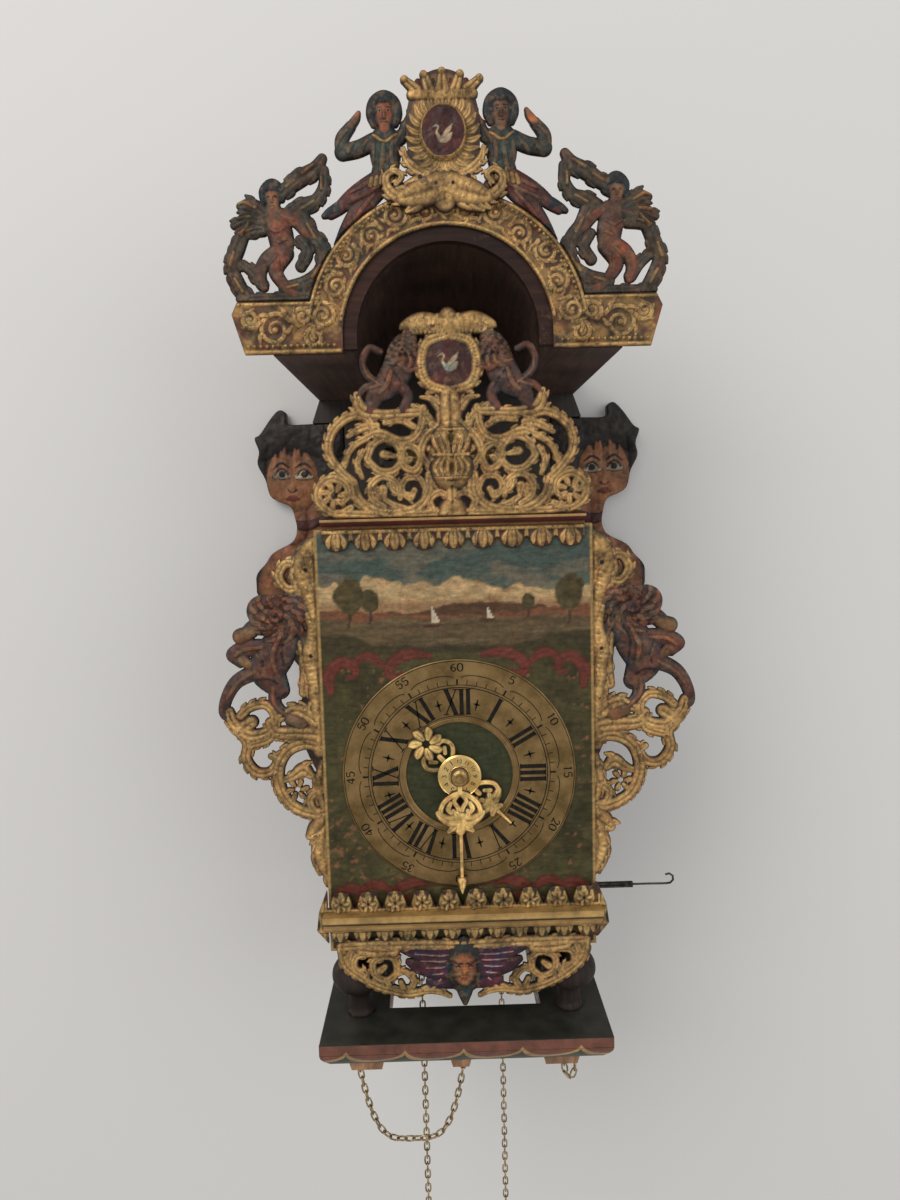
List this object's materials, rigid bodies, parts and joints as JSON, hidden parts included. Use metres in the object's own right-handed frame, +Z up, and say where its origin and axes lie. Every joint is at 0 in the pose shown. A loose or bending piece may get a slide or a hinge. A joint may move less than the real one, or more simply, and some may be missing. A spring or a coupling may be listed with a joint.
{
  "type": "bracket wall clock",
  "caption": "Weight-driven wall clock under a carved hood on its own bracket, with pierced gilded castings, doors at the sides, a movement, a bell and hanging chains.",
  "frame": {"origin": "on the wall plane, on the centre line, level with the top of the seat the clock stands on", "axes": "+Z up, +Y into the wall, the dial faces -Y, +X to the viewer's right"},
  "size_m": [0.4026, 0.2676, 0.9796],
  "materials": {
    "dark_wood": "dark waxed softwood, worn at the edges",
    "brown_wood": "red-brown varnished wood",
    "pale_wood": "pale bare softwood",
    "skin_paint": "old orange-brown paint with dark hair and scaled tails",
    "gilt": "worn gilding over a dark red ground",
    "red_paint": "dark red paint with a gilt and green scalloped edge",
    "figure_paint": "dark figures painted in purple-brown, green and orange",
    "plate_paint": "dark green painted plate with a painted river scene",
    "brass": "aged brass",
    "iron": "dark wrought iron",
    "steel": "dull steel"
  },
  "bodies": {
    "clock": {"back_board": "dark_wood", "mermaid_left": "skin_paint", "mermaid_right": "skin_paint", "seat_board": "dark_wood", "seat_moulding": "red_paint", "chain_block_left": "pale_wood", "chain_block_centre": "pale_wood", "chain_block_right": "pale_wood", "foot_front_left": "brown_wood", "foot_front_right": "brown_wood", "foot_rear_left": "brown_wood", "foot_rear_right": "brown_wood", "case_frame": "dark_wood", "case_top": "dark_wood", "back_panel": "dark_wood", "dial_plate": "plate_paint", "chapter_ring": "brass", "dial_cornice": "red_paint", "dial_fringe": "gilt", "crest_fret": "gilt", "wing_left": "gilt", "wing_right": "gilt", "base_cornice": "gilt", "apron_fret": "gilt", "front_bar": "iron", "middle_bar": "iron", "rear_bar": "iron", "bell_post": "iron", "bell": "brass", "going_chain": "brass", "strike_chain": "brass", "spare_chain": "brass", "alarm_chain": "brass", "hood_canopy": "brown_wood", "hood_front_board": "brown_wood", "hood_frieze": "gilt", "hood_cartouche": "gilt", "figure_left": "figure_paint", "figure_right": "figure_paint", "putto_left": "figure_paint", "putto_right": "figure_paint"},
    "going_great_wheel": {"great_wheel": "brass"},
    "minute_arbor": {"minute_arbor": "steel", "minute_hand": "brass"},
    "minute_wheel": {"minute_wheel": "brass"},
    "hour_wheel": {"hour_wheel": "brass", "hour_hand": "brass"},
    "alarm_disc": {"alarm_disc": "brass"},
    "second_wheel": {"second_wheel": "brass"},
    "contrate_wheel": {"contrate_wheel": "brass"},
    "crown_wheel": {"crown_wheel": "brass"},
    "verge_and_pendulum": {"verge": "steel", "pendulum": "brass"},
    "strike_great_wheel": {"strike_great_wheel": "brass"},
    "hammer_wheel": {"hammer_wheel": "brass"},
    "fly": {"fly": "brass"},
    "hammer": {"hammer": "iron"},
    "door_left": {"side_door_left": "brown_wood"},
    "door_right": {"side_door_right": "brown_wood"},
    "lever": {"repeat_lever": "iron"}
  },
  "joints": [
    {"name": "great_wheel_turn", "type": "hinge", "parent": "clock", "child": "going_great_wheel", "pos_m": [0, -0.211, 0.203], "axis": [0, 1, 0], "continuous": true},
    {"name": "minute_turn", "type": "hinge", "parent": "clock", "child": "minute_arbor", "pos_m": [0, -0.25, 0.203], "axis": [0, 1, 0], "continuous": true},
    {"name": "minute_wheel_turn", "type": "hinge", "parent": "clock", "child": "minute_wheel", "pos_m": [-0.01803, -0.237, 0.18497], "axis": [0, 1, 0], "continuous": true},
    {"name": "hour_turn", "type": "hinge", "parent": "clock", "child": "hour_wheel", "pos_m": [0, -0.242, 0.203], "axis": [0, 1, 0], "continuous": true},
    {"name": "alarm_set", "type": "hinge", "parent": "hour_wheel", "child": "alarm_disc", "pos_m": [0, -0.2507, 0.203], "axis": [0, 1, 0], "continuous": true},
    {"name": "second_wheel_turn", "type": "hinge", "parent": "clock", "child": "second_wheel", "pos_m": [0, -0.199, 0.251], "axis": [0, 1, 0], "continuous": true},
    {"name": "contrate_turn", "type": "hinge", "parent": "clock", "child": "contrate_wheel", "pos_m": [0, -0.19, 0.2846], "axis": [0, 1, 0], "continuous": true},
    {"name": "crown_turn", "type": "hinge", "parent": "clock", "child": "crown_wheel", "pos_m": [0, -0.19, 0.32], "axis": [0, 0, 1], "continuous": true},
    {"name": "verge_swing", "type": "hinge", "parent": "clock", "child": "verge_and_pendulum", "pos_m": [0, -0.07, 0.352], "axis": [0, 1, 0], "range_deg": [-12, 12]},
    {"name": "strike_great_turn", "type": "hinge", "parent": "clock", "child": "strike_great_wheel", "pos_m": [0, -0.141, 0.203], "axis": [0, 1, 0], "continuous": true},
    {"name": "hammer_wheel_turn", "type": "hinge", "parent": "clock", "child": "hammer_wheel", "pos_m": [0, -0.127, 0.251], "axis": [0, 1, 0], "continuous": true},
    {"name": "fly_turn", "type": "hinge", "parent": "clock", "child": "fly", "pos_m": [0.02376, -0.135, 0.27476], "axis": [0, 1, 0], "continuous": true},
    {"name": "hammer_lift", "type": "hinge", "parent": "clock", "child": "hammer", "pos_m": [-0.06, -0.122, 0.3], "axis": [0, -1, 0], "range_deg": [0, 10]},
    {"name": "door_left_swing", "type": "hinge", "parent": "clock", "child": "door_left", "pos_m": [-0.0915, -0.1113, 0.227], "axis": [0, 0, -1], "range_deg": [0, 100]},
    {"name": "door_right_swing", "type": "hinge", "parent": "clock", "child": "door_right", "pos_m": [0.0915, -0.1113, 0.227], "axis": [0, 0, 1], "range_deg": [0, 100]},
    {"name": "release_pull", "type": "hinge", "parent": "clock", "child": "lever", "pos_m": [0.088, -0.222, 0.1005], "axis": [0, 1, 0], "range_deg": [0, 6]}
  ],
  "couplings": [
    {"joint": "minute_turn", "follows": "great_wheel_turn", "ratio": 1},
    {"joint": "minute_wheel_turn", "follows": "great_wheel_turn", "ratio": -0.5},
    {"joint": "hour_turn", "follows": "great_wheel_turn", "ratio": 0.083333},
    {"joint": "second_wheel_turn", "follows": "great_wheel_turn", "ratio": -7},
    {"joint": "contrate_turn", "follows": "great_wheel_turn", "ratio": 42},
    {"joint": "crown_turn", "follows": "great_wheel_turn", "ratio": -210},
    {"joint": "hammer_wheel_turn", "follows": "strike_great_turn", "ratio": -7},
    {"joint": "fly_turn", "follows": "strike_great_turn", "ratio": 42}
  ]
}
